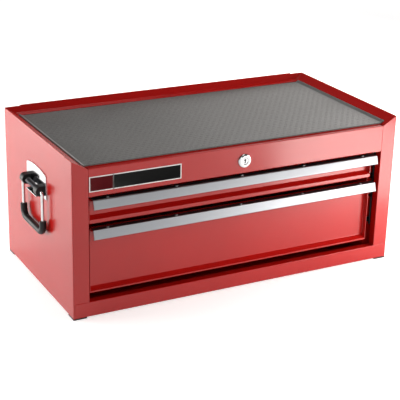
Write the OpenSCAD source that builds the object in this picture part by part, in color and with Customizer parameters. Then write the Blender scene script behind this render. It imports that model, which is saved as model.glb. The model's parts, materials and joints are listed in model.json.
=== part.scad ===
// Steel tool chest with two drawers, a lidless top tray, a cylinder lock and a drop handle
// on each side. Millimetres, +Z up. The origin is on the floor, under the middle of the
// whole chest; the drawers open towards -Y.

/* [Case] */
// Width over the side panels
case_w = 676; // [560:1:900]
// Depth from the front posts to the back panel
case_d = 345; // [320:1:460]
// Height of the side rims above the floor
case_h = 300; // [280:1:420]
// Thickness of the steel sheet
sheet = 1; // [0.8:0.1:1.2]
// Width of the front posts
post_w = 31; // [28:1:40]
// Depth of the flange turned in behind each post
post_return = 16; // [10:1:18]
// Height of the rail above the drawers
top_rail_h = 52; // [50:1:70]
// Height of the rail below the drawers
bottom_rail_h = 28.5; // [20:0.5:40]
// Width of the strip of each post that runs on down beside the lower rail
post_strip = 3; // [3:0.5:8]
// Depth of the flanges turned back from both rails
rail_flange = 16; // [12:1:18]
// Width of the flanges along the base
base_flange = 20; // [15:1:30]
// Width of the flanges in front of the back panel
rear_flange = 15; // [10:1:20]
// Radius of the lower corners of the top rail
rail_corner_r = 3; // [1:0.5:6]
// Height of the corner pads
pad_t = 2.5; // [2:0.5:6]
// Side of the square corner pads
pad_w = 26; // [20:1:40]

/* [Top tray] */
// Slope of the side rims, from level
rim_angle = 30; // [26:1:36]
// Depth of the tray floor below the side rims
tray_depth = 16; // [13:1:20]
// Width of the lip under the tray floor
tray_lip = 12; // [8:1:20]
// Distance of the tray floor and mat behind the front posts
tray_front = 11; // [8:1:15]
// Height of the back rim above the side rims
back_rise = 2; // [0:0.5:4]
// Lean of the back rim's inner face
back_lean = 8; // [6:0.5:12]
// Width of the ledge at the foot of the back rim
back_ledge = 12; // [8:1:20]
// Height of that ledge above the tray floor
back_ledge_h = 4.5; // [3.5:0.5:7]
// Width of the relief slot at the front end of each side rim
relief_w = 2.5; // [1.5:0.5:4]
// Thickness of the rubber mat
mat_t = 2.5; // [2:0.5:3]
// Length of the mat's edge that lies up the side rims
mat_curl = 8; // [4:1:12]

/* [Drawer fronts] */
// Height of the upper drawer front
front_1_h = 48; // [48:0.5:62]
// Gap between the top rail and the upper pull
gap_top = 7; // [4:0.5:10]
// Gap between the two drawer fronts
gap_mid = 8.5; // [5:0.5:12]
// Gap below the lower drawer front
gap_bottom = 12; // [8:0.5:16]
// Distance of the flat faces behind the posts
face_recess = 20; // [17:0.5:21]
// Gap between the right post and the flat faces
face_side_gap = 16; // [14:0.5:20]
// Gap between the left post and the flat faces
face_left_gap = 6; // [5:0.5:16]
// Depth of the flanges that frame the faces
face_flange = 10; // [6:0.5:12]
// Drop of the sloping ledge under each face
ledge_drop = 5.5; // [3:0.5:8]
// Height of the lip under the upper ledge
lip_1_h = 7; // [3:0.5:9]
// Height of the lip under the lower ledge
lip_2_h = 3; // [2:0.5:8]

/* [Drawer trays] */
// Height of the tray floor above the bottom of its front
tray_lift = 2; // [1.5:0.5:4]
// Distance of the upper tray's rim below the top of its front
tray_1_rim_drop = 4.5; // [3.5:0.5:7]
// Distance of the lower tray's rim below the top of its front
tray_2_rim_drop = 8; // [3.5:0.5:40]
// Height of the hem folded inside the tray rims
hem_h = 7; // [5:0.5:10]

/* [Pulls] */
// Height of the aluminium pulls
pull_h = 18; // [15:0.5:20]
// Distance that the pulls reach out of the posts' front
pull_proud = 5; // [3:0.5:8]
// Thickness of the pulls
pull_t = 1.5; // [1.2:0.1:2]
// Depth of the flange on top of the drawer front
pull_flange = 12; // [10:0.5:15]
// Gap between the posts and the ends of the pulls
pull_end_gap = 8.5; // [4:0.5:12]
// Depth of the finger edge turned in at the bottom
pull_edge = 4; // [2:0.5:6]
// Number of rivets in each pull
pull_rivets = 5; // [2:1:9]
// Diameter of the rivet shanks
rivet_d = 3.2; // [3:0.1:4]

/* [Ball-bearing slides] */
// Height of the slides
slide_h = 35; // [33:1:36]
// Thickness of the slides
slide_t = 12.7; // [12.5:0.1:14]
// Distance of the slides behind the posts' front
slide_front = 30; // [30:1:34]
// Clearance between the slides and the back panel
slide_rear_gap = 15; // [10:1:30]
// Thickness of the slide steel
slide_web = 1.2; // [1:0.1:1.4]
// Diameter of the bearing balls
ball_d = 3; // [2.6:0.1:3.2]
// Number of balls in each row
balls = 6; // [4:1:8]
// Distance between the balls in a row
ball_pitch = 26; // [16:1:26]
// Thickness of the ball cages
cage_t = 0.4; // [0.3:0.1:0.5]
// Width of the channel uprights that carry the slides
upright_w = 40; // [25:1:60]

/* [Lock] */
// Diameter of the lock's head
lock_head_d = 26; // [22:0.5:30]
// Diameter of the lock's body
lock_body_d = 19; // [17:0.5:20]
// Diameter of the lock's plug
plug_d = 12; // [10:0.5:13]
// Depth of the lock's body behind the rail's face
lock_depth = 17; // [12:0.5:17]
// Width across the flats of the lock's nut
nut_flats = 24; // [22:0.5:28]
// Distance from the plug's axis to the cam's pin
cam_r = 12; // [11:0.5:13]
// Diameter of the cam's pin
pin_d = 5; // [4:0.5:6]
// Height of the cross strip of the lock bar
lock_bar_h = 27; // [22:0.5:27]
// Thickness of the lock bar
lock_bar_t = 2; // [1.5:0.1:2.5]
// Diameter of the lock bar's rods
rod_d = 5; // [4:0.5:5]
// Height of the lock bar's hooks
hook_h = 10; // [8:0.5:11]
// Distance of the lock bar behind the posts' front
lock_bar_y = 24; // [23:0.1:24]

/* [Side handles] */
// Width of the handle plates
plate_w = 100; // [94:1:120]
// Height of the handle plates, to the top of the arch
plate_h = 51; // [46:1:60]
// Rise of the arch along a plate's top
plate_arch = 5; // [2:0.5:8]
// Thickness of the handle plates
plate_t = 1.5; // [1:0.1:2]
// Height of the handle pivots above the floor
pivot_z = 203; // [180:1:210]
// Distance of the handle pivots from the side panels
pivot_out = 9; // [8.5:0.5:12]
// Distance of the handles' middle behind the posts' front
handle_y = 172; // [160:1:185]
// Width between the legs of a bail, on their axes
bail_w = 101; // [98:1:112]
// Drop of a bail, from its pivot to its grip's axis
bail_drop = 79; // [70:1:95]
// Diameter of the bail's wire
wire_d = 6; // [5:0.5:6]
// Radius of the bail's lower bends
bail_bend_r = 16; // [14:1:22]
// Diameter of the grips
grip_d = 13; // [11:0.5:14]
// Diameter of the pivot blocks
block_d = 19; // [18:0.5:22]
// Length of the pivot blocks
block_len = 16; // [14:0.5:18]
// Wire diameter of the return springs
spring_wire_d = 1.8; // [1.4:0.1:2]
// Pitch of the return springs
spring_pitch = 3; // [2.8:0.1:4]
// Diameter of the screws that hold the pivot blocks
screw_d = 4; // [3:0.5:4]

/* [Fits] */
// Radial clearance of turning and sliding fits
fit = 0.05; // [0.03:0.01:0.08]
// Clearance between sheets that lie beside each other
sheet_gap = 0.2; // [0.1:0.05:0.3]
// Clearance round the bearing balls
ball_gap = 0.25; // [0.15:0.05:0.3]

/* [Hidden] */
$fn = 48;

red = [0.62, 0.06, 0.05];
steel = [0.72, 0.73, 0.75];
chrome = [0.85, 0.86, 0.88];
black = [0.06, 0.06, 0.06];
brass = [0.75, 0.6, 0.3];
black_steel = [0.2, 0.2, 0.21];

side_x = case_w / 2;                              // outer face of the side panels
skin_x = side_x - sheet;                          // inner face of the side panels
case_front = -(case_d - pull_proud) / 2;          // posts' front, in the chest's own frame
back_y = case_d - sheet;                          // inner face of the back panel
base_z = pad_t;
opening_x = side_x - post_w;                      // half of the opening between the posts
floor_top = case_h - tray_depth;                  // top face of the tray floor
floor_under = floor_top - sheet;
rail_bottom = floor_under - top_rail_h;
opening_bottom = base_z + bottom_rail_h;
slope = tan(rim_angle);
foot_inset = tray_depth / slope;                  // from the side's outer face to the rim's foot
under_inset = (tray_depth + sheet) / slope;
back_ledge_z = floor_top + back_ledge_h;

front_tops = [rail_bottom - gap_top, rail_bottom - gap_top - front_1_h - gap_mid];
front_bottoms = [front_tops[0] - front_1_h, opening_bottom + gap_bottom];
lips = [lip_1_h, lip_2_h];
rim_drops = [tray_1_rim_drop, tray_2_rim_drop];
face_x = opening_x - face_side_gap;               // right end of the flat faces
face_left = opening_x - face_left_gap;            // their left end, which reaches further out
face_back = face_recess + sheet;
lip_y = face_recess - face_flange;
pull_x = opening_x - pull_end_gap;
flange_front = 2.5;                               // front edge of the steel under the pull
rivet_y = 7.5;
rivet_head_d = rivet_d + 3;
rivet_inset = 30;

ball_r = ball_d / 2;
race_r = ball_r + ball_gap;
race_gap = cage_t + 0.3;                          // between two members, for the ball cage
row_a = slide_h / 2 - slide_web - race_r;         // ball row between outer and middle member
row_b = row_a - 2 * race_r - slide_web;           // ball row between middle and inner member
row_u = slide_t / 2;
inner_flange = race_r - race_gap / 2 + slide_web;
middle_u = slide_web + 0.5;
inner_u = middle_u + slide_web + 0.7;
race_w = 7.7;
slide_len = case_d - slide_front - slide_rear_gap;
slide_back = slide_front + slide_len;
cage_len = (balls - 1) * ball_pitch + 20;
cage_front = slide_front + (slide_len - cage_len) / 2;
tray_x = face_x - 3.7;                            // outer face of the drawer trays
slide_x = tray_x + slide_t;                       // cabinet side of the slides
tray_back = slide_back + sheet;
upright_top = floor_under - sheet - 0.5;
upright_flange = 11;
rear_upright_y = slide_back - upright_w;
floor_panel_top = base_z + 2 * sheet;

lock_z = (rail_bottom + floor_under) / 2 - 2;
pin_reach = cam_r * cos(45);                      // pin's offset at both ends of its quarter turn
lock_lift = 2 * pin_reach;
cam_t = 2;
cam_y = lock_depth + 0.5;
bar_top = lock_z - pin_reach + lock_bar_h / 2;
bar_bottom = bar_top - lock_bar_h;
rod_x = opening_x + 4;                            // the rods stand behind the posts
rod_y = lock_bar_y + lock_bar_t / 2;
hook_x = slide_x + 1;                             // inner ends of the hooks, clear of the slides
catch_x = opening_x - 1.5;                        // outer ends of the catches, clear of the posts
catch_y = lock_bar_y + lock_bar_t + 1.5;
catch_t = 1.5;
weld_gap = 0.05;                                  // between pieces that are welded together
guide_t = 2;
guide_out = 6;

function slide_z(n) = n == 0
    ? front_bottoms[0] + tray_lift + sheet + 2 + slide_h / 2
    : (front_bottoms[1] + front_tops[1]) / 2;
function hook_top(n) = slide_z(n) - slide_h / 2 - 3;
function tray_bottom(n) = front_bottoms[n] + tray_lift;
function tray_top(n) = front_tops[n] - rim_drops[n];

plate_bottom = pivot_z - 16;
lip_out = pivot_out + 3;
block_end = bail_w / 2 - 6.5;
bail_top_r = 5.5;
spring_r = wire_d / 2 + 0.3 + spring_wire_d / 2;
spring_half = block_end - block_len - 1;
screw_y = block_end - block_len / 2;
screw_dz = 6.3;
screw_head_d = 2 * screw_d;
screw_head_h = 2.4;
screw_reach = 5.5;

// ---- shared shapes ----

// Shifts a piece from the posts' front to the chest's own origin
module placed() {
    translate([0, case_front, 0]) children();
}

// Extrudes a (y, z) outline along X
module along_x(x0, x1) {
    translate([x0, 0, 0]) rotate([90, 0, 90]) linear_extrude(x1 - x0) children();
}

// Extrudes an (x, z) outline along Y
module along_y(y0, y1) {
    translate([0, y1, 0]) rotate([90, 0, 0]) linear_extrude(y1 - y0) children();
}

// A box between two corners
module block(low, high) {
    translate(low) cube(high - low);
}

// A round bar or hole along Y
module rod_along_y(x, z, r, y0, y1) {
    along_y(y0, y1) translate([x, z]) circle(r);
}

// The shape itself and its mirror image across the chest's middle
module both_sides() {
    children();
    mirror([1, 0, 0]) children();
}

// -1 builds the left one of a pair, 1 the right one
module on_side(side) {
    if (side < 0) children();
    else mirror([1, 0, 0]) children();
}

function unit(v) = v / norm(v);
function left_of(v) = [-v[1], v[0]];
function side_at(p, i) = left_of(unit(p[i + 1] - p[i]));
function mitre(a, b) = (a + b) / (1 + a * b);
function offset_point(p, i, t) =
    i == 0 ? p[0] + t * side_at(p, 0)
    : i == len(p) - 1 ? p[i] + t * side_at(p, i - 1)
    : p[i] + t * mitre(side_at(p, i - 1), side_at(p, i));

// Outline of a folded sheet: the points run along one face, and a positive thickness lies to
// the left of them
module folded(points, t) {
    polygon(concat(points, [for (i = [len(points) - 1:-1:0]) offset_point(points, i, t)]));
}

// ---- case ----

module relief_slot() {
    block([-side_x - 1, post_w - relief_w, case_h - 3.5], [-side_x + 1.5, post_w, case_h + 1]);
}

module handle_holes(d, x0, x1) {
    for (y = [-screw_y, screw_y], z = [-screw_dz, screw_dz])
        along_x(x0, x1) translate([handle_y + y, pivot_z + z]) circle(d = d);
}

// Skin, front post, sloping rim and flanges, folded from one sheet. Beside the lower rail only
// a strip of the post is left along the fold.
module side_panel() {
    bend_z = case_h - 5;
    rim = [[-side_x, bend_z], [-side_x, case_h], [-side_x + under_inset, floor_under]];
    color(red) placed() difference() {
        union() {
            block([-side_x, 0, base_z], [-skin_x, case_d, bend_z]);
            along_y(0, sheet) polygon([
                [-side_x, base_z], [-side_x + post_strip, base_z],
                [-side_x + post_strip, opening_bottom + sheet_gap], [-opening_x, opening_bottom + sheet_gap],
                [-opening_x, case_h - post_w * slope], [-side_x, case_h]
            ]);
            block([-opening_x - sheet, 0, opening_bottom + sheet_gap],
                [-opening_x, post_return, case_h - (post_w + sheet) * slope]);
            along_y(0, rail_flange + 1) folded(rim, -sheet);
            along_y(rail_flange, back_y - sheet_gap)
                folded(concat(rim, [[-side_x + under_inset + tray_lip, floor_under]]), -sheet);
            block([-side_x, base_flange + 1, base_z], [-side_x + base_flange, back_y - sheet_gap, base_z + sheet]);
            block([-side_x, back_y - sheet, base_z + sheet],
                [-side_x + rear_flange, back_y, floor_under - tray_depth]);
        }
        relief_slot();
        handle_holes(screw_d + 2 * fit, -side_x - 1, -skin_x + 1);
    }
}

module left_side_panel() { side_panel(); }
module right_side_panel() { mirror([1, 0, 0]) side_panel(); }

// Room above the sloping side rims, where the back rim may lie
module between_rims(gap) {
    low = back_ledge_z - 10;
    inset = (case_h - low) / slope + gap;
    polygon([
        [-side_x + inset, low], [side_x - inset, low], [side_x - gap, case_h], [side_x - gap, case_h + 9],
        [-side_x + gap, case_h + 9], [-side_x + gap, case_h]
    ]);
}

module back_panel() {
    rim_top = case_h + back_rise;
    flange_half = side_x - base_flange - sheet_gap;
    color(red) placed() difference() {
        union() {
            block([-skin_x + sheet_gap, back_y, base_z], [skin_x - sheet_gap, case_d, case_h - sheet]);
            block([-flange_half, case_d - base_flange, base_z], [flange_half, case_d, base_z + sheet]);
            intersection() {
                along_x(-skin_x, skin_x) folded([
                    [case_d, case_h - 8], [case_d, rim_top], [case_d - back_lean, back_ledge_z],
                    [case_d - back_lean - back_ledge, back_ledge_z], [case_d - back_lean - back_ledge, floor_top]
                ], sheet);
                along_y(0, case_d) between_rims(sheet_gap);
            }
        }
        both_sides() block([opening_x, back_y - 4, case_h - 0.2], [side_x, case_d + 1, rim_top + 1]);
    }
}

module bottom_panel() {
    color(red) placed() block([-skin_x + sheet_gap, sheet + sheet_gap, base_z + sheet],
        [skin_x - sheet_gap, back_y - sheet - sheet_gap, floor_panel_top]);
}

// Tray floor on the lips of the side panels and the flange of the top rail
module top_tray() {
    half = side_x - under_inset - sheet_gap;
    back = back_y - sheet_gap;
    flange_half = half - tray_lip - sheet_gap;
    color(red) placed() {
        block([-half, tray_front, floor_under], [half, back, floor_top]);
        block([-flange_half, back - sheet, floor_under - tray_depth], [flange_half, back, floor_top]);
    }
}

module top_rail() {
    end = opening_x - sheet_gap;
    color(red) placed() difference() {
        union() {
            along_x(-end, end) folded([
                [rail_flange / 2, rail_bottom], [0, rail_bottom], [0, floor_under], [rail_flange, floor_under]
            ], -sheet);
            both_sides() block([end - sheet, 0, rail_bottom], [end, rail_flange, floor_under]);
        }
        both_sides() along_y(-1, rail_flange + 1) difference() {
            translate([end - rail_corner_r, rail_bottom - 1]) square([rail_corner_r + 1, rail_corner_r + 1]);
            translate([end - rail_corner_r, rail_bottom + rail_corner_r]) circle(rail_corner_r);
        }
        rod_along_y(0, lock_z, lock_body_d / 2 + fit, -1, sheet + 1);
    }
}

// Its face lies between the strips of the posts, and its flanges run on behind them
module bottom_rail() {
    end = skin_x - sheet_gap;
    face_end = side_x - post_strip - sheet_gap;
    color(red) placed() difference() {
        along_x(-end, end) folded([
            [base_flange, base_z], [0, base_z], [0, opening_bottom], [rail_flange, opening_bottom],
            [rail_flange, opening_bottom - 6]
        ], -sheet);
        both_sides() block([face_end, -1, 0], [side_x, sheet + sheet_gap, opening_bottom + 1]);
    }
}

// The mat lies on the tray floor, and its edges lie up the side rims
module rubber_mat() {
    lift = 0.05;
    foot = [side_x - foot_inset - lift, floor_top];
    edge = foot + mat_curl * [cos(rim_angle), sin(rim_angle)];
    color([0.3, 0.3, 0.3]) placed()
        along_y(tray_front, case_d - back_lean - back_ledge - sheet_gap)
            folded([[-edge[0], edge[1]], [-foot[0], foot[1]], foot, edge], mat_t);
}

module corner_pads() {
    color(black) placed() for (x = [-1, 1], y = [0, case_d - pad_w])
        translate([x * (side_x - pad_w / 2), y + pad_w / 2, 0]) linear_extrude(pad_t) difference() {
            square(pad_w, center = true);
            translate([-x * pad_w / 2, (y > 0 ? -1 : 1) * pad_w / 2]) circle(pad_w / 2);
        }
}

// Hat-section upright between a side panel and its slides
module upright(y0) {
    wall = skin_x - sheet;
    color(red) placed()
        translate([0, 0, floor_panel_top]) linear_extrude(upright_top - floor_panel_top) folded([
            [-wall, y0 - upright_flange], [-wall, y0], [-slide_x, y0], [-slide_x, y0 + upright_w],
            [-wall, y0 + upright_w], [-wall, y0 + upright_w + upright_flange]
        ], sheet);
}

module front_left_upright() { upright(slide_front); }
module front_right_upright() { mirror([1, 0, 0]) upright(slide_front); }
module rear_left_upright() { upright(rear_upright_y); }
module rear_right_upright() { mirror([1, 0, 0]) upright(rear_upright_y); }

// ---- lock ----

// Chrome head and threaded body, turned about the lock's axis
module lock_housing() {
    head_r = lock_head_d / 2;
    bore_r = plug_d / 2 + fit;
    color(chrome) placed() translate([0, 0, lock_z]) rotate([-90, 0, 0]) rotate_extrude() polygon([
        [bore_r, -3], [bore_r + 1, -4], [head_r - 3.5, -4], [head_r - 1, -3], [head_r, -1.5], [head_r, 0],
        [lock_body_d / 2, 0], [lock_body_d / 2, lock_depth], [bore_r, lock_depth]
    ]);
}

module lock_nut() {
    color(steel) placed() along_y(sheet, sheet + 5) translate([0, lock_z]) difference() {
        circle(d = nut_flats / cos(30), $fn = 6);
        circle(lock_body_d / 2 + fit);
    }
}

// The plug stands upright in its unlocked place, with its keyway vertical
module lock_plug() {
    color(chrome) placed() difference() {
        rod_along_y(0, lock_z, plug_d / 2, -3, cam_y);
        block([-1.1, -4, lock_z - 4], [1.1, 6, lock_z + 4]);
        rod_along_y(0, lock_z + 2, 2, -4, 0);
    }
}

module lock_cam() {
    color(steel) placed() {
        along_y(cam_y, cam_y + cam_t) translate([0, lock_z]) difference() {
            union() {
                circle(plug_d / 2 + 1);
                rotate(-135) translate([0, -pin_d / 2 - 1.5]) square([cam_r, pin_d + 3]);
                rotate(-135) translate([cam_r, 0]) circle(pin_d / 2 + 1.5);
            }
            circle(2 + fit);
        }
        rod_along_y(-pin_reach, lock_z - pin_reach, pin_d / 2, cam_y, lock_bar_y + lock_bar_t + 1);
    }
}

module lock_cam_screw() {
    color(steel) placed() {
        rod_along_y(0, lock_z, 2, cam_y, cam_y + cam_t);
        rod_along_y(0, lock_z, 4, cam_y + cam_t, cam_y + cam_t + 2);
    }
}

// Cross strip with the cam's slot, a rod under each end, and two hooks on each rod
module lock_bar() {
    slot = pin_d / 2 + 0.6;
    bar_back = lock_bar_y + lock_bar_t;
    rod_foot = hook_top(1) - hook_h - 6;
    color(black_steel) placed() {
        difference() {
            block([-rod_x - 3, lock_bar_y, bar_bottom], [rod_x + 3, bar_back, bar_top]);
            along_y(lock_bar_y - 1, bar_back + 1) {
                translate([-cam_r, lock_z - pin_reach]) circle(slot);
                translate([-pin_reach, lock_z - pin_reach]) circle(slot);
                translate([-cam_r, lock_z - pin_reach - slot]) square([cam_r - pin_reach, 2 * slot]);
            }
        }
        both_sides() {
            translate([rod_x, rod_y, rod_foot]) cylinder(d = rod_d, h = bar_bottom - weld_gap - rod_foot);
            for (n = [0, 1])
                block([hook_x, lock_bar_y, hook_top(n) - hook_h],
                    [rod_x - rod_d / 2 - weld_gap, bar_back, hook_top(n)]);
        }
    }
}

// Drilled tabs on the front uprights, in which the rods slide
module lock_bar_guides() {
    zs = [slide_z(0) + 4, slide_z(1) + slide_h / 2 + 6];
    color(black_steel) placed() both_sides() for (z = zs) difference() {
        block([rod_x - rod_d / 2 - 2.5, rod_y - rod_d / 2 - 2, z],
            [rod_x + guide_out, slide_front, z + guide_t]);
        translate([rod_x, rod_y, z - 1]) cylinder(r = rod_d / 2 + fit, h = guide_t + 2);
    }
}

// ---- drawers, numbered from the top ----

// Tray with hemmed sides, and a catch on each side that the lock's hooks meet
module drawer_tray(n) {
    z0 = tray_bottom(n);
    z1 = tray_top(n);
    inner = tray_x - sheet;
    catch_top = slide_z(n);
    color(red) placed() {
        difference() {
            block([-tray_x, face_back, z0], [tray_x, tray_back, z1]);
            block([-inner, face_back + sheet, z0 + sheet], [inner, tray_back - sheet, z1 + 1]);
        }
        both_sides() block([inner - sheet, face_back + sheet, z1 - hem_h], [inner, tray_back - sheet, z1]);
        both_sides() block([tray_x + weld_gap, catch_y, catch_top - slide_h / 2],
            [catch_x, catch_y + catch_t, catch_top]);
    }
}

// Recessed face with a flange at each side, a sloping ledge below and a lip
module drawer_front(n) {
    top = front_tops[n] - pull_t;
    bottom = front_bottoms[n];
    ledge_z = bottom + lips[n] + ledge_drop;
    color(red) placed() difference() {
        union() {
            along_x(-face_left, face_x) folded([
                [flange_front, top], [face_back, top], [face_back, ledge_z],
                [lip_y + sheet, ledge_z - ledge_drop], [lip_y + sheet, bottom + sheet],
                [face_back, bottom + sheet]
            ], -sheet);
            for (x = [-face_left - sheet, face_x])
                block([x, lip_y, bottom], [x + sheet, face_back, top]);
        }
        rivet_holes(n);
    }
}

function rivet_xs() = [for (i = [0:pull_rivets - 1])
    (pull_x - rivet_inset) * (2 * i / (pull_rivets - 1) - 1)];

module rivet_holes(n) {
    for (x = rivet_xs())
        translate([x, rivet_y, front_tops[n] - 5]) cylinder(r = rivet_d / 2 + fit, h = 6);
}

// Aluminium pull that leans out over the finger gap
module drawer_pull(n) {
    top = front_tops[n];
    color(steel) placed() difference() {
        along_x(-pull_x, pull_x) folded([
            [pull_flange, top], [0, top], [-pull_proud, top - pull_h + 1], [-pull_proud + pull_edge, top - pull_h]
        ], pull_t);
        rivet_holes(n);
    }
}

module drawer_pull_rivets(n) {
    top = front_tops[n];
    tail = pull_t + sheet;
    color(steel) placed() for (x = rivet_xs()) translate([x, rivet_y, top]) {
        cylinder(d = rivet_head_d, h = 1.2);
        translate([0, 0, -tail]) cylinder(d = rivet_d, h = tail);
        translate([0, 0, -tail - 1]) cylinder(d = rivet_head_d - 1, h = 1);
    }
}

module drawer_1_tray() { drawer_tray(0); }
module drawer_1_front() { drawer_front(0); }
module drawer_1_pull() { drawer_pull(0); }
module drawer_1_pull_rivets() { drawer_pull_rivets(0); }
module drawer_2_tray() { drawer_tray(1); }
module drawer_2_front() { drawer_front(1); }
module drawer_2_pull() { drawer_pull(1); }
module drawer_2_pull_rivets() { drawer_pull_rivets(1); }

// ---- ball-bearing slides ----

// Places a slide section: u runs from the cabinet side to the drawer, v from the middle height
module slide_bar(side, n, y0, y1) {
    color(black_steel) placed() on_side(side)
        along_y(y0, y1) translate([-slide_x, slide_z(n)]) children();
}

// The section and its mirror image below the middle height
module up_and_down() {
    children();
    mirror([0, 1]) children();
}

module race(row) {
    translate([row_u, row]) circle(race_r);
}

module outer_section() {
    up_and_down() difference() {
        union() {
            square([slide_web, slide_h / 2]);
            translate([0, row_a + race_gap / 2])
                square([middle_u + race_w, slide_h / 2 - row_a - race_gap / 2]);
        }
        race(row_a);
    }
}

module middle_section() {
    up_and_down() difference() {
        union() {
            translate([middle_u, 0]) square([slide_web, row_a - race_gap / 2]);
            translate([middle_u, row_b + race_gap / 2])
                square([race_w, row_a - row_b - race_gap]);
        }
        race(row_a);
        race(row_b);
    }
}

module inner_section() {
    up_and_down() difference() {
        union() {
            translate([slide_t - slide_web, 0]) square([slide_web, row_b - race_gap / 2]);
            translate([inner_u, row_b - race_gap / 2 - inner_flange])
                square([slide_t - inner_u, inner_flange]);
        }
        race(row_b);
    }
}

module slide_outer(side, n) { slide_bar(side, n, slide_front, slide_back) outer_section(); }
module slide_middle(side, n) { slide_bar(side, n, slide_front, slide_back) middle_section(); }
module slide_inner(side, n) { slide_bar(side, n, slide_front, slide_back) inner_section(); }

function ball_ys() = [for (i = [0:balls - 1]) cage_front + 10 + i * ball_pitch];

// Drilled strips that keep the balls apart, one for each row
module ball_cages(n, row) {
    color(brass) placed() both_sides() for (v = [-row, row])
        translate([-slide_x + row_u, 0, slide_z(n) + v - cage_t / 2]) linear_extrude(cage_t) difference() {
            translate([-race_w / 2 + 0.6, cage_front]) square([race_w - 1.2, cage_len]);
            for (y = ball_ys()) translate([0, y]) circle(ball_r + 0.1);
        }
}

module ball_rows(n, row) {
    color(chrome) placed() both_sides() for (v = [-row, row], y = ball_ys())
        translate([-slide_x + row_u, y, slide_z(n) + v]) sphere(ball_r);
}

module drawer_1_left_slide_outer() { slide_outer(-1, 0); }
module drawer_1_left_slide_middle() { slide_middle(-1, 0); }
module drawer_1_left_slide_inner() { slide_inner(-1, 0); }
module drawer_1_right_slide_outer() { slide_outer(1, 0); }
module drawer_1_right_slide_middle() { slide_middle(1, 0); }
module drawer_1_right_slide_inner() { slide_inner(1, 0); }
module drawer_2_left_slide_outer() { slide_outer(-1, 1); }
module drawer_2_left_slide_middle() { slide_middle(-1, 1); }
module drawer_2_left_slide_inner() { slide_inner(-1, 1); }
module drawer_2_right_slide_outer() { slide_outer(1, 1); }
module drawer_2_right_slide_middle() { slide_middle(1, 1); }
module drawer_2_right_slide_inner() { slide_inner(1, 1); }
module drawer_1_outer_ball_cages() { ball_cages(0, row_a); }
module drawer_1_outer_balls() { ball_rows(0, row_a); }
module drawer_1_inner_ball_cages() { ball_cages(0, row_b); }
module drawer_1_inner_balls() { ball_rows(0, row_b); }
module drawer_2_outer_ball_cages() { ball_cages(1, row_a); }
module drawer_2_outer_balls() { ball_rows(1, row_a); }
module drawer_2_inner_ball_cages() { ball_cages(1, row_b); }
module drawer_2_inner_balls() { ball_rows(1, row_b); }

// ---- side handles, built on the left and mirrored ----

// Local frame of a handle: x runs out from the panel, y along the pivot, z from the pivot up
module handle_frame(side) {
    placed() on_side(side) translate([-side_x, handle_y, pivot_z]) mirror([1, 0, 0]) children();
}

module plate_outline() {
    arch_r = (plate_w * plate_w / 4 + plate_arch * plate_arch) / (2 * plate_arch);
    top = plate_h - (pivot_z - plate_bottom);
    corner = 5;
    intersection() {
        translate([-plate_w / 2, plate_bottom - pivot_z]) square([plate_w, plate_h]);
        translate([0, top - arch_r]) circle(arch_r, $fn = 180);
        union() {
            translate([-plate_w / 2, plate_bottom - pivot_z]) square([plate_w, plate_h - plate_arch - corner]);
            translate([-plate_w / 2 + corner, plate_bottom - pivot_z]) square([plate_w - 2 * corner, plate_h]);
            for (y = [-1, 1]) translate([y * (plate_w / 2 - corner), top - plate_arch - corner]) circle(corner);
        }
    }
}

// Arched backplate with a lip folded out below the pivot
module handle_plate(side) {
    lip_half = block_end - block_len - 2;
    color(chrome) handle_frame(side) {
        difference() {
            along_x(0, plate_t) plate_outline();
            for (y = [-screw_y, screw_y], z = [-screw_dz, screw_dz])
                along_x(-1, plate_t + 1) translate([y, z]) circle(d = screw_d + 2 * fit);
        }
        block([0, -lip_half, plate_bottom - pivot_z], [lip_out, lip_half, plate_bottom - pivot_z + plate_t]);
    }
}

// Black blocks that carry the bail's ends
module pivot_blocks(side) {
    color(black) handle_frame(side) for (y = [-1, 1]) difference() {
        along_y(y * (block_end - block_len / 2) - block_len / 2, y * (block_end - block_len / 2) + block_len / 2)
            difference() {
                union() {
                    translate([pivot_out, 0]) circle(block_d / 2);
                    translate([plate_t, -block_d / 2]) square([pivot_out - plate_t, block_d]);
                }
                translate([pivot_out - block_d, -block_d]) square([block_d - pivot_out + plate_t, 2 * block_d]);
                translate([pivot_out, 0]) circle(wire_d / 2 + fit);
            }
        for (z = [-screw_dz, screw_dz])
            along_x(plate_t - 1, screw_reach) translate([y * screw_y, z]) circle(d = screw_d + 2 * fit);
    }
}

// Coil round the bail's ends, between the blocks
module handle_spring(side) {
    turns = 2 * spring_half / spring_pitch - 1;
    steps = 14;
    sides = 6;
    rings = floor(turns * steps);
    function ring_point(i, j) = let (
        turn = 360 * i / steps,
        around = 360 * j / sides,
        r = spring_r + spring_wire_d / 2 * cos(around)
    ) [
        pivot_out + r * cos(turn),
        -spring_half + spring_pitch / 2 + i * spring_pitch / steps + spring_wire_d / 2 * sin(around),
        r * sin(turn)
    ];
    points = [for (i = [0:rings], j = [0:sides - 1]) ring_point(i, j)];
    walls = [for (i = [0:rings - 1], j = [0:sides - 1])
        [i * sides + j, (i + 1) * sides + j, (i + 1) * sides + (j + 1) % sides, i * sides + (j + 1) % sides]];
    start = [for (j = [0:sides - 1]) j];
    end = [for (j = [sides - 1:-1:0]) rings * sides + j];
    color(steel) handle_frame(side) polyhedron(points, concat(walls, [start], [end]));
}

// A quarter bend in the (y, z) plane about a centre, from angle a over 90 degrees
module quarter_bend(y, z, bend_r, a) {
    translate([pivot_out, y, z]) rotate([90, 0, 90]) rotate([0, 0, a])
        rotate_extrude(angle = 90) translate([bend_r, 0]) children();
}

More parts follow.
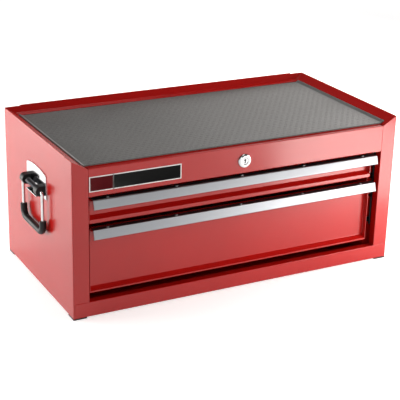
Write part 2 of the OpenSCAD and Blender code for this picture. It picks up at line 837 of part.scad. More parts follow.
// Straight stretches and bends of the bail's lower part, with a given cross-section
module bail_loop(top_z) {
    half = bail_w / 2;
    bend_z = bail_bend_r - bail_drop;
    for (y = [-half, half])
        translate([pivot_out, y, bend_z]) linear_extrude(top_z - bend_z) children();
    quarter_bend(half - bail_bend_r, bend_z, bail_bend_r, 270) children();
    quarter_bend(-half + bail_bend_r, bend_z, bail_bend_r, 180) children();
    translate([pivot_out, half - bail_bend_r, -bail_drop]) rotate([90, 0, 0])
        linear_extrude(2 * (half - bail_bend_r)) children();
}

module bail(side) {
    half = bail_w / 2;
    color(chrome) handle_frame(side) {
        bail_loop(-bail_top_r) circle(wire_d / 2);
        quarter_bend(half - bail_top_r, -bail_top_r, bail_top_r, 0) circle(wire_d / 2);
        quarter_bend(-half + bail_top_r, -bail_top_r, bail_top_r, 90) circle(wire_d / 2);
        for (y0 = [2, -half + bail_top_r])
            rod_along_y(pivot_out, 0, wire_d / 2, y0, y0 + half - bail_top_r - 2);
    }
}

module grip(side) {
    color(black) handle_frame(side) bail_loop(bail_bend_r - bail_drop + 8) difference() {
        circle(grip_d / 2);
        circle(wire_d / 2 + fit);
    }
}

module handle_screws(side) {
    color(steel) handle_frame(side) for (y = [-screw_y, screw_y], z = [-screw_dz, screw_dz]) {
        along_x(-sheet, screw_reach - 0.5) translate([y, z]) circle(d = screw_d);
        along_x(-sheet - screw_head_h, -sheet) translate([y, z]) circle(d = screw_head_d);
    }
}

module left_handle_plate() { handle_plate(-1); }
module left_pivot_blocks() { pivot_blocks(-1); }
module left_handle_spring() { handle_spring(-1); }
module left_bail() { bail(-1); }
module left_grip() { grip(-1); }
module left_handle_screws() { handle_screws(-1); }
module right_handle_plate() { handle_plate(1); }
module right_pivot_blocks() { pivot_blocks(1); }
module right_handle_spring() { handle_spring(1); }
module right_bail() { bail(1); }
module right_grip() { grip(1); }
module right_handle_screws() { handle_screws(1); }

left_side_panel();
right_side_panel();
back_panel();
bottom_panel();
top_tray();
top_rail();
bottom_rail();
rubber_mat();
corner_pads();
front_left_upright();
rear_left_upright();
front_right_upright();
rear_right_upright();
lock_housing();
lock_nut();
lock_plug();
lock_cam();
lock_cam_screw();
lock_bar();
lock_bar_guides();
drawer_1_tray();
drawer_1_front();
drawer_1_pull();
drawer_1_pull_rivets();
drawer_2_tray();
drawer_2_front();
drawer_2_pull();
drawer_2_pull_rivets();
drawer_1_left_slide_outer();
drawer_1_left_slide_middle();
drawer_1_left_slide_inner();
drawer_1_right_slide_outer();
drawer_1_right_slide_middle();
drawer_1_right_slide_inner();
drawer_2_left_slide_outer();
drawer_2_left_slide_middle();
drawer_2_left_slide_inner();
drawer_2_right_slide_outer();
drawer_2_right_slide_middle();
drawer_2_right_slide_inner();
drawer_1_outer_ball_cages();
drawer_1_outer_balls();
drawer_1_inner_ball_cages();
drawer_1_inner_balls();
drawer_2_outer_ball_cages();
drawer_2_outer_balls();
drawer_2_inner_ball_cages();
drawer_2_inner_balls();
left_handle_plate();
left_pivot_blocks();
left_handle_spring();
left_bail();
left_grip();
left_handle_screws();
right_handle_plate();
right_pivot_blocks();
right_handle_spring();
right_bail();
right_grip();
right_handle_screws();
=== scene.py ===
"""Looks of a red steel tool box with drawers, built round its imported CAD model."""

import json
import math

import bmesh
import bpy
from mathutils import Matrix, Vector
from mathutils.geometry import intersect_point_line

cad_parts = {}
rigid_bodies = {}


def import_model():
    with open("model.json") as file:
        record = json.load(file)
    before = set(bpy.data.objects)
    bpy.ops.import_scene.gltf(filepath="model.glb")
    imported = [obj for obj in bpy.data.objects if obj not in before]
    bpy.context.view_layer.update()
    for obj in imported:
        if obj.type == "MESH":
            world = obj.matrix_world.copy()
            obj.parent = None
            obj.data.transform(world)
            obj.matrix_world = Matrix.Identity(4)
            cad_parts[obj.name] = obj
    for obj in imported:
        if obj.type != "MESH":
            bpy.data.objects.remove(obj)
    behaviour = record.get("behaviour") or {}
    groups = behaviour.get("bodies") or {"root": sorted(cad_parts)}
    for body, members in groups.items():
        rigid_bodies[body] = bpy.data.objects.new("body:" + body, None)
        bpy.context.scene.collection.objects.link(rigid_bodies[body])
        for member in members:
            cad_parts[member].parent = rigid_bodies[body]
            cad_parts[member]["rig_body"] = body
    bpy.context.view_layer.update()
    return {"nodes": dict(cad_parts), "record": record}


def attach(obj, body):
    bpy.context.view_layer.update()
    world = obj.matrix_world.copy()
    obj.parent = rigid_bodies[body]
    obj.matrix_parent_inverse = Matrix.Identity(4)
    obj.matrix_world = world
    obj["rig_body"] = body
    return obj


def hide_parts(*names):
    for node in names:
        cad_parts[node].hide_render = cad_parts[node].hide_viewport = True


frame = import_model()

MM = 0.001
CASE_FRONT = -170 * MM
SLOT_OF = {row["node"]: row["material_slot"] for row in frame["record"]["subparts"]}

# ---- camera ----

CAMERA_PLACE = (-1.0346, -1.9413, 0.9744)
# In degrees: how far it stands round to the left, looks down, and rolls about its line of sight
CAMERA_TURN, CAMERA_TILT, CAMERA_ROLL = 28.0769, 21.2894, 1.5070
CAMERA_LENS = 106.98
CAMERA_SENSOR = 36
CAMERA_REACH = 60


def place_camera():
    lens = bpy.data.cameras.new("camera")
    lens.lens = CAMERA_LENS
    lens.sensor_width = CAMERA_SENSOR
    lens.clip_end = CAMERA_REACH
    camera = bpy.data.objects.new("camera", lens)
    bpy.context.scene.collection.objects.link(camera)
    camera.matrix_world = (
        Matrix.Translation(CAMERA_PLACE)
        @ Matrix.Rotation(math.radians(-CAMERA_TURN), 4, "Z")
        @ Matrix.Rotation(math.radians(90 - CAMERA_TILT), 4, "X")
        @ Matrix.Rotation(math.radians(CAMERA_ROLL), 4, "Z")
    )
    bpy.context.scene.camera = camera


# ---- node tools ----


def feed(tree, socket, value):
    """Gives a socket another node's output, or a plain value."""
    if isinstance(value, bpy.types.NodeSocket):
        tree.links.new(value, socket)
    else:
        socket.default_value = value


def set_inputs(tree, node, **values):
    """Feeds a node's inputs, each named by its label or by i and its number."""
    for name, value in values.items():
        key = int(name[1:]) if name[1:].isdigit() else name.replace("_", " ")
        feed(tree, node.inputs[key], value)
    return node


def add_node(tree, kind, **inputs):
    return set_inputs(tree, tree.nodes.new(kind), **inputs)


def math_node(tree, operation, first, second=0.0, clamp=False):
    node = add_node(tree, "ShaderNodeMath", i0=first, i1=second)
    node.operation = operation
    node.use_clamp = clamp
    return node.outputs[0]


def spread(tree, value, **ends):
    """A value moved from one range (From_Min, From_Max) to another (To_Min, To_Max)."""
    return add_node(tree, "ShaderNodeMapRange", Value=value, **ends).outputs["Result"]


def noise(tree, place, **settings):
    return add_node(tree, "ShaderNodeTexNoise", Vector=place, **settings).outputs["Fac"]


def blend_colours(tree, factor, first, second):
    node = tree.nodes.new("ShaderNodeMix")
    node.data_type = "RGBA"
    values = {("Factor", "VALUE"): factor, ("A", "RGBA"): first, ("B", "RGBA"): second}
    for socket in node.inputs:
        if (socket.name, socket.type) in values:
            feed(tree, socket, values[socket.name, socket.type])
    return next(socket for socket in node.outputs if socket.type == "RGBA")


def ramp(tree, factor, *stops):
    """Greys between stops, each of them (place, grey)."""
    node = add_node(tree, "ShaderNodeValToRGB", Fac=factor)
    elements = node.color_ramp.elements
    while len(elements) < len(stops):
        elements.new(0.5)
    for element, (place, grey) in zip(elements, stops):
        element.position = place
        element.color = (grey, grey, grey, 1)
    return node.outputs["Color"]


def new_group(name, made, **given):
    """A shader group with the outputs made, and with inputs that have the defaults given."""
    group = bpy.data.node_groups.new(name, "ShaderNodeTree")
    for label, default in given.items():
        label = label.replace("_", " ")
        socket = group.interface.new_socket(label, in_out="INPUT", socket_type="NodeSocketFloat")
        socket.default_value = default
    for label in made:
        group.interface.new_socket(label, in_out="OUTPUT", socket_type="NodeSocketFloat")
    return group, group.nodes.new("NodeGroupInput").outputs, group.nodes.new("NodeGroupOutput")


def use_group(tree, group, **inputs):
    node = tree.nodes.new("ShaderNodeGroup")
    node.node_tree = group
    return set_inputs(tree, node, **inputs).outputs


def object_place(tree):
    return tree.nodes.new("ShaderNodeTexCoord").outputs["Object"]


# ---- effects shared by the materials ----


def make_mottle_group():
    """Soft cloudy change over the surface: handling marks, uneven gloss and tone."""
    group, given, made = new_group("mottle", ["Mask"], Scale=6.0, Low=0.4, High=0.6)
    cloud = noise(group, object_place(group), Scale=given["Scale"], Detail=4.0, Roughness=0.6)
    set_inputs(group, made, Mask=spread(group, cloud, From_Min=given["Low"], From_Max=given["High"]))
    return group


BEVEL_SAMPLES = 6


def make_edge_highlight_group():
    """1 along the sharp edges, broken up by noise: a painted edge highlight, and on black parts
    rubbed wear as well.
    """
    group, given, made = new_group("edge_wear", ["Mask"], Width=0.001, Break_Up=120.0)
    rounded = add_node(group, "ShaderNodeBevel", Radius=given["Width"])
    rounded.samples = BEVEL_SAMPLES
    flat = group.nodes.new("ShaderNodeNewGeometry").outputs["Normal"]
    likeness = add_node(group, "ShaderNodeVectorMath", i0=rounded.outputs[0], i1=flat)
    likeness.operation = "DOT_PRODUCT"
    bend = math_node(group, "SUBTRACT", 1.0, likeness.outputs["Value"], clamp=True)
    grain = noise(group, object_place(group), Scale=given["Break Up"], Detail=3.0)
    broken = math_node(group, "MULTIPLY", bend, grain)
    set_inputs(group, made, Mask=spread(group, broken, From_Min=0.03, From_Max=0.14))
    return group


FINER_GRAIN = 3.7
FINER_SHARE = 0.4


def make_grain_group():
    """Fine bump made of two sizes of grain, as on powder coat, rubber and moulded plastic."""
    group, given, made = new_group("surface_grain", ["Height"], Scale=900.0, Strength=0.1)
    place = object_place(group)
    coarse = noise(group, place, Scale=given["Scale"], Detail=2.0)
    finer = math_node(group, "MULTIPLY", given["Scale"], FINER_GRAIN)
    fine = noise(group, place, Scale=finer, Detail=1.0)
    total = math_node(group, "ADD", coarse, math_node(group, "MULTIPLY", fine, FINER_SHARE))
    set_inputs(group, made, Height=math_node(group, "MULTIPLY", total, given["Strength"]))
    return group


LINE_STRETCH = (0.006, 1, 1)
WIDE_LINES = 0.2


def make_brushing_group():
    """Long thin scratches along X, as drawn or brushed metal has."""
    group, given, made = new_group("brushing", ["Height", "Mask"], Fineness=1500.0)
    place = object_place(group)
    stretched = add_node(group, "ShaderNodeMapping", Vector=place, Scale=LINE_STRETCH).outputs[0]
    lines = noise(group, stretched, Scale=given["Fineness"], Detail=3.0)
    wider = math_node(group, "MULTIPLY", given["Fineness"], WIDE_LINES)
    wide = noise(group, stretched, Scale=wider, Detail=2.0)
    set_inputs(group, made, Height=lines, Mask=math_node(group, "MULTIPLY", lines, wide))
    return group


MOTTLE = make_mottle_group()
EDGE_HIGHLIGHT_AND_WEAR = make_edge_highlight_group()
GRAIN = make_grain_group()
BRUSHING = make_brushing_group()

# ---- materials ----


def new_material(name):
    material = bpy.data.materials.new(name)
    material.use_nodes = True
    tree = material.node_tree
    return material, tree, tree.nodes["Principled BSDF"]


def bump(tree, height, depth):
    """The normal of a surface that is raised by height times depth, in metres."""
    node = add_node(tree, "ShaderNodeBump", Strength=1.0, Distance=depth, Height=height)
    return node.outputs[0]


def grain_bump(tree, scale, strength, depth):
    return bump(tree, use_group(tree, GRAIN, Scale=scale, Strength=strength)["Height"], depth)


def darkened(colour, share):
    return tuple(share * part for part in colour[:3]) + (1,)


def red_paint():
    """Glossy red powder coat, a little uneven, with painted highlights along its edges."""
    material, tree, shader = new_material("red_paint")
    cloud = use_group(tree, MOTTLE, Scale=3.0, Low=0.35, High=0.65)["Mask"]
    gloss = use_group(tree, MOTTLE, Scale=17.0)["Mask"]
    edge = use_group(tree, EDGE_HIGHLIGHT_AND_WEAR, Width=1.2 * MM, Break_Up=260.0)["Mask"]
    # A lighter red along the edges: a painted highlight where the folds catch the light
    edge_highlight_and_rub = math_node(tree, "MULTIPLY", edge, 0.30)
    tone = blend_colours(tree, cloud, (0.33, 0.0042, 0.0028, 1), (0.38, 0.0050, 0.0034, 1))
    set_inputs(
        tree,
        shader,
        Base_Color=blend_colours(tree, edge_highlight_and_rub, tone, (0.62, 0.06, 0.045, 1)),
        Roughness=spread(tree, gloss, To_Min=0.30, To_Max=0.38),
        Specular_IOR_Level=0.0,
        Coat_Weight=1.0,
        Coat_Roughness=0.21,
        Coat_IOR=1.52,
        Normal=grain_bump(tree, 700.0, 0.2, 0.02 * MM),
    )
    return material


def mat_rubber():
    """Grey rubber with a matt bloom and pale dust in its grain."""
    material, tree, shader = new_material("mat_rubber")
    cloud = use_group(tree, MOTTLE, Scale=9.0, Low=0.3, High=0.7)["Mask"]
    speck = use_group(tree, MOTTLE, Scale=420.0, Low=0.35, High=0.75)["Mask"]
    dust = math_node(tree, "MULTIPLY", speck, 0.45)
    tone = blend_colours(tree, cloud, (0.066, 0.066, 0.066, 1), (0.098, 0.097, 0.096, 1))
    set_inputs(
        tree,
        shader,
        Base_Color=blend_colours(tree, dust, tone, (0.24, 0.24, 0.235, 1)),
        Roughness=spread(tree, cloud, To_Min=0.50, To_Max=0.62),
        Normal=grain_bump(tree, 500.0, 1.0, 0.12 * MM),
    )
    return material


def black_material(name, colour, rough_low, rough_high, grain_scale, grain_depth):
    """Black moulded plastic or rubber, greyer along its edges: rubbed wear there, and a painted edge
    highlight.
    """
    material, tree, shader = new_material(name)
    edge = use_group(tree, EDGE_HIGHLIGHT_AND_WEAR, Width=0.8 * MM, Break_Up=400.0)["Mask"]
    # Greyer edges: rubbed wear and a painted edge highlight
    edge_highlight_and_rub = math_node(tree, "MULTIPLY", edge, 0.5)
    cloud = use_group(tree, MOTTLE, Scale=60.0)["Mask"]
    set_inputs(
        tree,
        shader,
        Base_Color=blend_colours(tree, edge_highlight_and_rub, colour, (0.07, 0.07, 0.07, 1)),
        Roughness=spread(tree, cloud, To_Min=rough_low, To_Max=rough_high),
        Specular_IOR_Level=0.2,
        Normal=grain_bump(tree, grain_scale, 1.0, grain_depth),
    )
    return material


def plated_metal(name, colour, rough_low, rough_high, cloud_scale):
    """Plated or polished metal with handling marks in its gloss."""
    material, tree, shader = new_material(name)
    cloud = use_group(tree, MOTTLE, Scale=cloud_scale, Low=0.35, High=0.65)["Mask"]
    set_inputs(
        tree,
        shader,
        Base_Color=blend_colours(tree, cloud, darkened(colour, 0.88), colour),
        Roughness=spread(tree, cloud, To_Min=rough_low, To_Max=rough_high),
        Metallic=1.0,
        Normal=grain_bump(tree, 1400.0, 0.3, 0.01 * MM),
    )
    return material


def brushed_aluminium(name, colour, roughness):
    """Satin anodised extrusion with drawing lines along its length."""
    material, tree, shader = new_material(name)
    lines = use_group(tree, BRUSHING, Fineness=1500.0)
    set_inputs(
        tree,
        shader,
        Base_Color=blend_colours(tree, lines["Mask"], darkened(colour, 0.86), colour),
        Roughness=spread(tree, lines["Mask"], To_Min=roughness - 0.05, To_Max=roughness + 0.08),
        Metallic=1.0,
        Normal=bump(tree, lines["Height"], 0.04 * MM),
    )
    return material


def plain_enamel(name, colour, roughness):
    """Smooth printed enamel of the badge."""
    material, tree, shader = new_material(name)
    cloud = use_group(tree, MOTTLE, Scale=40.0, Low=0.3, High=0.7)["Mask"]
    set_inputs(
        tree,
        shader,
        Base_Color=blend_colours(tree, cloud, darkened(colour, 0.9), colour),
        Roughness=spread(tree, cloud, To_Min=roughness, To_Max=roughness + 0.06),
        Specular_IOR_Level=0.06,
    )
    return material


# One material for each slot of the CAD model. A roughness goes from low to high, then follow the
# scale of the cloudy marks of a metal, or the scale and depth of the grain of a black material.
MATERIALS = {
    "red_paint": red_paint(),
    "mat_rubber": mat_rubber(),
    "pad_plastic": black_material(
        "pad_plastic", (0.012, 0.012, 0.013, 1), 0.5, 0.62, 900.0, 0.05 * MM
    ),
    "chrome": plated_metal("chrome", (0.60, 0.61, 0.62, 1), 0.05, 0.10, 30.0),
    "zinc_steel": plated_metal("zinc_steel", (0.55, 0.56, 0.58, 1), 0.26, 0.38, 45.0),
    "black_steel": plated_metal("black_steel", (0.03, 0.03, 0.032, 1), 0.3, 0.45, 60.0),
    "pull_aluminium": brushed_aluminium("pull_aluminium", (0.32, 0.33, 0.35, 1), 0.36),
    "rivet_aluminium": plated_metal("rivet_aluminium", (0.36, 0.37, 0.38, 1), 0.3, 0.42, 90.0),
    "cage_steel": plated_metal("cage_steel", (0.42, 0.40, 0.36, 1), 0.35, 0.5, 60.0),
    "ball_steel": plated_metal("ball_steel", (0.62, 0.63, 0.65, 1), 0.06, 0.10, 200.0),
    "block_plastic": black_material(
        "block_plastic", (0.010, 0.010, 0.011, 1), 0.32, 0.42, 1200.0, 0.03 * MM
    ),
    "spring_steel": plated_metal("spring_steel", (0.10, 0.10, 0.11, 1), 0.3, 0.42, 120.0),
    "grip_rubber": black_material(
        "grip_rubber", (0.011, 0.011, 0.012, 1), 0.30, 0.40, 1500.0, 0.03 * MM
    ),
}
# Black for the shade painted into the lock's keyway
KEYWAY_SHADE = black_material(
    "keyway_black", (0.004, 0.004, 0.004, 1), 0.6, 0.7, 900.0, 0.02 * MM
)
BADGE_BLACK = plain_enamel("badge_black", (0.004, 0.004, 0.004, 1), 0.22)
BADGE_RED = plain_enamel("badge_red", (0.075, 0.002, 0.004, 1), 0.22)
BADGE_WHITE = plain_enamel("badge_white", (0.80, 0.79, 0.78, 1), 0.25)

# ---- modelling tools ----


def select_only(piece):
    bpy.ops.object.select_all(action="DESELECT")
    piece.select_set(True)
    bpy.context.view_layer.objects.active = piece


def start_edit(piece, what="VERT"):
    select_only(piece)
    bpy.ops.object.mode_set(mode="EDIT")
    bpy.ops.mesh.select_mode(type=what)


def end_edit():
    bpy.ops.object.mode_set(mode="OBJECT")


# A face looks along an axis if that part of its normal is above this
FACING = 0.9


def select_faces(piece, wanted):
    """Selects the faces for which wanted(face) holds."""
    bpy.ops.mesh.select_all(action="DESELECT")
    mesh = bmesh.from_edit_mesh(piece.data)
    for face in mesh.faces:
        if wanted(face):
            face.select_set(True)
    bmesh.update_edit_mesh(piece.data)


def apply_modifier(piece, kind, **settings):
    select_only(piece)
    modifier = piece.modifiers.new(kind.lower(), kind)
    for name, value in settings.items():
        setattr(modifier, name, value)
    bpy.ops.object.modifier_apply(modifier=modifier.name)


# Points closer than the first become one, and so do faces that meet at less than the second
SAME_PLACE = 0.002 * MM
SAME_PLANE = 0.002


def clean_copy(node, name):
    """A merged copy of a CAD node's mesh, with flat faces made whole again."""
    piece = bpy.data.objects.new(name, frame["nodes"][node].data.copy())
    bpy.context.scene.collection.objects.link(piece)
    start_edit(piece)
    bpy.ops.mesh.customdata_custom_splitnormals_clear()
    bpy.ops.mesh.select_all(action="SELECT")
    bpy.ops.mesh.remove_doubles(threshold=SAME_PLACE)
    bpy.ops.mesh.dissolve_limited(angle_limit=SAME_PLANE)
    end_edit()
    return piece


# A fold is at least this long, and the faces beside it are at least this wide
FOLD_LENGTH = 25 * MM
FOLD_SIDE = 2.6 * MM
# Cosine of the angle between a fold and its axis
ALONG_AXIS = 0.9999
MIDDLE_STRETCH = (0.2, 0.5, 0.8)
# Wider than any face
WIDEST = 1.0


def face_width(edge, face):
    """How far a face reaches from the middle stretch of one of its edges."""
    first, last = (vert.co for vert in edge.verts)
    nearest = WIDEST
    for part in MIDDLE_STRETCH:
        spot = first.lerp(last, part)
        for other in face.edges:
            if other != edge:
                start, end = (vert.co for vert in other.verts)
                share = intersect_point_line(spot, start, end)[1]
                nearest = min(nearest, (spot - start.lerp(end, min(max(share, 0), 1))).length)
    return nearest


def is_fold(edge):
    """Whether the sheet is bent along an edge, rather than cut: it is long, lies along an axis, and
    both faces beside it are wide."""
    length = edge.calc_length()
    along = (edge.verts[0].co - edge.verts[1].co) / length
    if length < FOLD_LENGTH or max(abs(part) for part in along) < ALONG_AXIS:
        return False
    return all(face_width(edge, face) > FOLD_SIDE for face in edge.link_faces)


def corners(edge, face):
    """The two corners of a face at the ends of an edge, each with the face's other edge there."""
    for loop in face.loops:
        if loop.edge == edge:
            return (loop, loop.link_loop_prev.edge), (loop.link_loop_next, loop.link_loop_next.edge)


# Angles in radians: two faces meet sharply above the first, and an edge goes straight on above
# the second
SHARP = 0.6
STRAIGHT = 2.7
# Share of a short edge that the bevels at its ends may take up
ROOM = 0.9
FIT_ROUNDS = 30
# The sine of a corner is taken as at least this, and a bevel keeps at least this share in a round
LEAST_SINE = 0.02
LEAST_SHARE = 0.3


def fit_widths(mesh, widths):
    """Narrows the bevels beside short edges, so that none runs past its neighbour."""
    for _ in range(FIT_ROUNDS):
        tight = False
        for edge in mesh.edges:
            own = widths.get(edge, 0)
            for face in edge.link_faces:
                used, beside = 0, []
                for loop, other in corners(edge, face):
                    angle = loop.calc_angle()
                    width = widths.get(other, 0)
                    goes_on = angle > STRAIGHT and width and own
                    if not loop.is_convex or width + own == 0 or goes_on:
                        continue
                    reach = (width + own * math.cos(angle)) / max(math.sin(angle), LEAST_SINE)
                    used += max(0, reach)
                    beside.append(other)
                allowed = ROOM * edge.calc_length()
                if used > allowed:
                    tight = True
                    for other in beside + [edge]:
                        if other in widths:
                            widths[other] *= max(allowed / used, LEAST_SHARE)
        if not tight:
            break
    return widths


def bend_width(edge, width):
    """Acute folds get a smaller bevel, so that their tip keeps its place."""
    return width * min(1, 1 / math.tan(edge.calc_face_angle() / 2)) ** 0.5


def bevel_edges(piece, wanted, width, segments):
    """Bevels the sharp edges for which wanted(edge) holds. Beside short edges the bevel narrows."""
    mesh = bmesh.new()
    mesh.from_mesh(piece.data)
    sharp = [e for e in mesh.edges if len(e.link_faces) == 2 and e.calc_face_angle() > SHARP]
    widths = fit_widths(mesh, {edge: bend_width(edge, width) for edge in sharp if wanted(edge)})
    mesh.edges.index_update()
    weights = [0.0] * len(mesh.edges)
    for edge, own in widths.items():
        weights[edge.index] = own / width
    mesh.free()
    layer = piece.data.attributes.get("bevel_weight_edge")
    if layer is None:
        layer = piece.data.attributes.new("bevel_weight_edge", "FLOAT", "EDGE")
    layer.data.foreach_set("value", weights)
    apply_modifier(
        piece,
        "BEVEL",
        width=width,
        segments=segments,
        limit_method="WEIGHT",
        use_clamp_overlap=False,
    )


# Faces that meet at less than this angle, in radians, are shaded as one
SMOOTH_BELOW = 0.58


def finish_piece(piece, node):
    """The piece takes the CAD node's place, body and slot."""
    select_only(piece)
    bpy.ops.object.shade_smooth_by_angle(angle=SMOOTH_BELOW)
    apply_modifier(piece, "WEIGHTED_NORMAL", mode="FACE_AREA", weight=50, keep_sharp=True)
    piece.data.materials.clear()
    piece.data.materials.append(MATERIALS[SLOT_OF[node]])
    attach(piece, frame["nodes"][node]["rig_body"])
    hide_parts(node)
    return piece


def longer_than(length):
    return lambda edge: edge.calc_length() > length * MM


# Longer than any edge round the holes for rivets, screws and the lock, in millimetres
HOLE_EDGE = 1.6


def folded_piece(node, fold=2.0, cut=0.25, sheet=1.0):
    """A sheet piece with rounded folds and broken cut edges, in millimetres. Its holes stay as they
    are."""
    piece = clean_copy(node, node + "_folded")
    bevel_edges(piece, lambda edge: is_fold(edge) and not edge.is_convex, (fold - sheet) * MM, 3)
    bevel_edges(piece, lambda edge: is_fold(edge) and edge.is_convex, fold * MM, 4)
    bevel_edges(piece, longer_than(HOLE_EDGE), cut * MM, 2)
    return finish_piece(piece, node)


def rounded_piece(node, width, shortest=0.0):
    """A solid piece with evenly rounded edges, in millimetres."""
    piece = clean_copy(node, node + "_rounded")
    bevel_edges(piece, longer_than(shortest), width * MM, 3)
    return finish_piece(piece, node)


def smooth_piece(node):
    """A turned or round piece, shaded smooth."""
    return finish_piece(clean_copy(node, node + "_smooth"), node)


# ---- the case, the drawers and the handles ----


def build_sheet_pieces():
    for side in ("left", "right"):
        folded_piece(side + "_side_panel", fold=2.5)
        for end in ("front", "rear"):
            folded_piece(end + "_" + side + "_upright", fold=1.8)
    for node in ("back_panel", "top_tray", "top_rail", "bottom_rail"):
        folded_piece(node, fold=1.6)
    folded_piece("bottom_panel")
    for number in ("1", "2"):
        folded_piece("drawer_" + number + "_tray", fold=1.6)
        folded_piece("drawer_" + number + "_front", fold=1.6)
        folded_piece("drawer_" + number + "_pull", fold=2.0, cut=0.3, sheet=1.5)


LOCK_HEIGHT = 255 * MM
KEYWAY_HALF_WIDTH = 2.2 * MM
KEYWAY_HALF_HEIGHT = 4.3 * MM
# The painted shade in the keyway begins just behind the plug's face
KEYWAY_START = CASE_FRONT - 2.9 * MM
KEYWAY_END = CASE_FRONT + 7 * MM


def paint_keyway_shade(plug):
    """The walls of the keyway are painted black, as the shade inside the deep narrow slot."""

    def in_keyway(face):
        x, y, z = face.calc_center_median()
        beside = abs(x) < KEYWAY_HALF_WIDTH and abs(z - LOCK_HEIGHT) < KEYWAY_HALF_HEIGHT
        return beside and KEYWAY_START < y < KEYWAY_END

    # Painted shade: the keyway's walls take the black material
    plug.data.materials.append(KEYWAY_SHADE)
    start_edit(plug, "FACE")
    select_faces(plug, in_keyway)
    plug.active_material_index = 1
    bpy.ops.object.material_slot_assign()
    end_edit()


def build_small_pieces():
    rounded_piece("corner_pads", width=0.4)
    rounded_piece("lock_housing", width=0.25)
    rounded_piece("lock_nut", width=0.4)
    paint_keyway_shade(rounded_piece("lock_plug", width=0.15))
    rounded_piece("lock_cam", width=0.2)
    rounded_piece("lock_bar", width=0.2)
    rounded_piece("lock_bar_guides", width=0.2, shortest=0.5)
    for side in ("left", "right"):
        rounded_piece(side + "_handle_plate", width=0.35, shortest=0.4)
        rounded_piece(side + "_pivot_blocks", width=0.7, shortest=0.8)
        rounded_piece(side + "_grip", width=1.2)
        smooth_piece(side + "_bail")
        smooth_piece(side + "_handle_spring")


MAT_TOP = 286.5 * MM
MAT_ROUNDING = 0.7 * MM
MAT_SHARP = 0.3
LOZENGE_LENGTH, LOZENGE_WIDTH = 8 * MM, 4 * MM
# How far a lozenge stands out of the mat, and how far it is sunk into it
LOZENGE_RISE, LOZENGE_FOOT = 0.30 * MM, 0.15 * MM
LOZENGE_TAPER = (0.7, 0.6, 1)
LOZENGE_STEP_X, LOZENGE_STEP_Y = 13 * MM, 18 * MM
LOZENGES_LEFT, LOZENGES_FRONT = -299 * MM, -152 * MM
LOZENGE_COLUMNS, LOZENGE_ROWS = 47, 17


def lozenge_field(name, left, front, columns, rows):
    """One lozenge with sloping sides, repeated in columns and rows."""
    middle = (left, front, MAT_TOP + (LOZENGE_RISE - LOZENGE_FOOT) / 2)
    bpy.ops.object.select_all(action="DESELECT")
    bpy.ops.mesh.primitive_cylinder_add(vertices=4, radius=0.5, depth=1, location=middle)
    field = bpy.context.active_object
    field.name = name
    field.scale = (LOZENGE_LENGTH, LOZENGE_WIDTH, LOZENGE_RISE + LOZENGE_FOOT)
    bpy.ops.object.transform_apply(location=True, rotation=False, scale=True)
    start_edit(field, "FACE")
    select_faces(field, lambda face: face.normal.z > FACING)
    bpy.ops.transform.resize(value=LOZENGE_TAPER, center_override=middle)
    end_edit()
    for count, step in ((columns, (LOZENGE_STEP_X, 0, 0)), (rows, (0, LOZENGE_STEP_Y, 0))):
        apply_modifier(
            field,
            "ARRAY",
            count=count,
            use_relative_offset=False,
            use_constant_offset=True,
            constant_offset_displace=step,
        )
    return field


def build_mat():
    """The mat with rounded borders and a raised pattern of small lozenges in staggered rows."""
    mat = clean_copy("rubber_mat", "rubber_mat_sheet")
    apply_modifier(
        mat, "BEVEL", width=MAT_ROUNDING, segments=3, limit_method="ANGLE", angle_limit=MAT_SHARP
    )
    between_left = LOZENGES_LEFT + LOZENGE_STEP_X / 2
    between_front = LOZENGES_FRONT + LOZENGE_STEP_Y / 2
    fields = [
        lozenge_field("lozenges_a", LOZENGES_LEFT, LOZENGES_FRONT, LOZENGE_COLUMNS, LOZENGE_ROWS),
        lozenge_field("lozenges_b", between_left, between_front, LOZENGE_COLUMNS - 1, LOZENGE_ROWS),
    ]
    select_only(mat)
    for field in fields:
        field.select_set(True)
    bpy.ops.object.join()
    finish_piece(mat, "rubber_mat")


BADGE_LEFT, BADGE_RIGHT = -306.0 * MM, -129.0 * MM
BADGE_LOW, BADGE_HIGH = 240.0 * MM, 268.0 * MM
BADGE_SPLIT = -260.5 * MM
BADGE_DEPTH = 0.9 * MM
BADGE_BORDER = 1.7 * MM
# How deep the panels are sunk, the rounding of the edges, and the seam between the two fields
BADGE_SUNK = 0.25 * MM
BADGE_ROUNDING = 0.12 * MM
BADGE_SEAM = 0.02 * MM
# In radians: edges sharper than the first are rounded, and those below the second shaded smooth
BADGE_SHARP = 0.6
BADGE_SMOOTH = 0.55


def badge_field(name, left, right, material):
    """One bare field of the badge: a raised border round a sunken panel."""
    middle = ((left + right) / 2, CASE_FRONT - BADGE_DEPTH / 2, (BADGE_LOW + BADGE_HIGH) / 2)
    bpy.ops.object.select_all(action="DESELECT")
    bpy.ops.mesh.primitive_cube_add(size=1, location=middle)
    field = bpy.context.active_object
    field.name = name
    field.scale = (right - left, BADGE_DEPTH, BADGE_HIGH - BADGE_LOW)
    bpy.ops.object.transform_apply(location=True, rotation=False, scale=True)
    field.data.materials.append(BADGE_WHITE)
    field.data.materials.append(material)
    start_edit(field, "FACE")
    select_faces(field, lambda face: face.normal.y < -FACING)
    bpy.ops.mesh.inset(thickness=BADGE_BORDER)
    bpy.ops.mesh.extrude_region_move(TRANSFORM_OT_translate={"value": (0, BADGE_SUNK, 0)})
    field.active_material_index = 1
    bpy.ops.object.material_slot_assign()
    end_edit()
    apply_modifier(
        field,
        "BEVEL",
        width=BADGE_ROUNDING,
        segments=2,
        limit_method="ANGLE",
        angle_limit=BADGE_SHARP,
    )
    select_only(field)
    bpy.ops.object.shade_smooth_by_angle(angle=BADGE_SMOOTH)
    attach(field, "case")


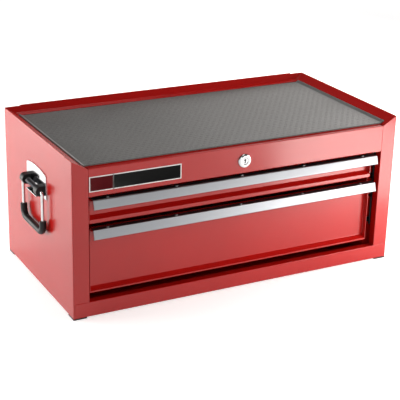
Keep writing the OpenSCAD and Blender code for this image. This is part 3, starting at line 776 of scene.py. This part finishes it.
def build_badge():
    half = BADGE_BORDER / 2
    badge_field("badge_square", BADGE_LEFT, BADGE_SPLIT + half, BADGE_RED)
    badge_field("badge_plate", BADGE_SPLIT - half + BADGE_SEAM, BADGE_RIGHT, BADGE_BLACK)


# ---- floor, lights and background ----

FLOOR_SIZE = 16


def seen_rays(tree):
    """1 for the rays that show the floor to the camera, directly or in a reflection."""
    path = tree.nodes.new("ShaderNodeLightPath").outputs
    direct = math_node(tree, "MAXIMUM", path["Is Camera Ray"], path["Is Glossy Ray"])
    return math_node(tree, "MAXIMUM", direct, path["Is Transmission Ray"])


def build_stage():
    """A pale floor. Where the camera sees it, it turns white a few metres off."""
    bpy.ops.object.select_all(action="DESELECT")
    bpy.ops.mesh.primitive_plane_add(size=FLOOR_SIZE)
    floor = bpy.context.active_object
    floor.name = "floor"
    material, tree, shader = new_material("pale_floor")
    distance = add_node(tree, "ShaderNodeVectorMath", i0=object_place(tree))
    distance.operation = "LENGTH"
    white = spread(
        tree, distance.outputs["Value"], From_Min=0.9, From_Max=3.2, To_Min=0.55, To_Max=1.0
    )
    set_inputs(
        tree,
        shader,
        Base_Color=(0.75, 0.75, 0.75, 1),
        Roughness=0.9,
        Specular_IOR_Level=0.1,
        Emission_Color=(1, 1, 1, 1),
        Emission_Strength=math_node(tree, "MULTIPLY", seen_rays(tree), white),
    )
    floor.data.materials.append(material)


LAMP_COLOUR = (1.0, 0.965, 0.93)
# Places from level (0) to straight up (1), each with its grey: bright low down, dark overhead
WORLD_GREYS = ((0.0, 1.0), (0.15, 1.0), (0.32, 0.04), (1.0, 0.03))
# What several lamps point at
LOW_MIDDLE = (0, 0, 0.12)
HIGH_MIDDLE = (0, 0, 0.2)
UPPER_RIGHT = (0.1, 0, 0.25)
FRONT_RIGHT = (0.15, -0.17, 0.15)


def add_softbox(name, place, target, size, power, tall=None):
    """A lamp of size in metres and power in watts. It is square unless tall says how high it is."""
    light = bpy.data.lights.new(name, "AREA")
    light.energy = power
    light.color = LAMP_COLOUR
    light.size = size
    if tall:
        light.shape = "RECTANGLE"
        light.size_y = tall
    box = bpy.data.objects.new(name, light)
    bpy.context.scene.collection.objects.link(box)
    box.location = place
    box.rotation_euler = (Vector(target) - Vector(place)).to_track_quat("-Z", "Y").to_euler()
    box.visible_camera = False


def add_lamps():
    add_softbox("right_softbox", place=(1.63, 0.59, 0.89), target=LOW_MIDDLE, size=1.2, power=31)
    add_softbox("top_softbox", place=(0.1, 0.1, 2.2), target=HIGH_MIDDLE, size=1.3, power=13)
    add_softbox(
        "front_right_softbox", place=(1.47, -0.79, 0.5), target=UPPER_RIGHT, size=0.9, power=13.5
    )
    add_softbox("front_softbox", place=(-0.59, -1.63, 0.89), target=LOW_MIDDLE, size=1.2, power=6.5)
    add_softbox("left_softbox", place=(-1.385, 0.54, 0.5), target=UPPER_RIGHT, size=0.9, power=19)
    add_softbox(
        "left_back_softbox",
        place=(-1.0, 0.9, 0.26),
        target=(-0.34, 0.05, 0.17),
        size=0.6,
        power=4.5,
        tall=0.5,
    )
    add_softbox(
        "low_right_softbox",
        place=(0.6, -0.95, 0.17),
        target=FRONT_RIGHT,
        size=0.5,
        power=1.3,
        tall=0.32,
    )
    add_softbox(
        "near_right_softbox",
        place=(0.45, -0.5, 0.1),
        target=FRONT_RIGHT,
        size=0.3,
        power=1.1,
        tall=0.18,
    )
    add_softbox(
        "floor_bounce_softbox",
        place=(0.68, -0.52, 0.36),
        target=(0.68, -0.52, 0.0),
        size=0.42,
        power=3.4,
    )
    add_softbox("back_softbox", place=(1.18, 1.41, 0.61), target=HIGH_MIDDLE, size=0.9, power=6.5)


def light_scene():
    add_lamps()
    world = bpy.data.worlds.new("studio")
    bpy.context.scene.world = world
    world.use_nodes = True
    tree = world.node_tree
    direction = tree.nodes.new("ShaderNodeTexCoord").outputs["Generated"]
    height = add_node(tree, "ShaderNodeSeparateXYZ", Vector=direction).outputs["Z"]
    greys = ramp(tree, height, *WORLD_GREYS)
    set_inputs(tree, tree.nodes["Background"], Color=greys, Strength=1.0)


def dress_cad_nodes():
    for name, node in frame["nodes"].items():
        for slot in node.material_slots:
            slot.material = MATERIALS[SLOT_OF[name]]


place_camera()
dress_cad_nodes()
build_sheet_pieces()
build_small_pieces()
build_mat()
build_badge()
build_stage()
light_scene()
bpy.context.scene.view_settings.view_transform = "Standard"
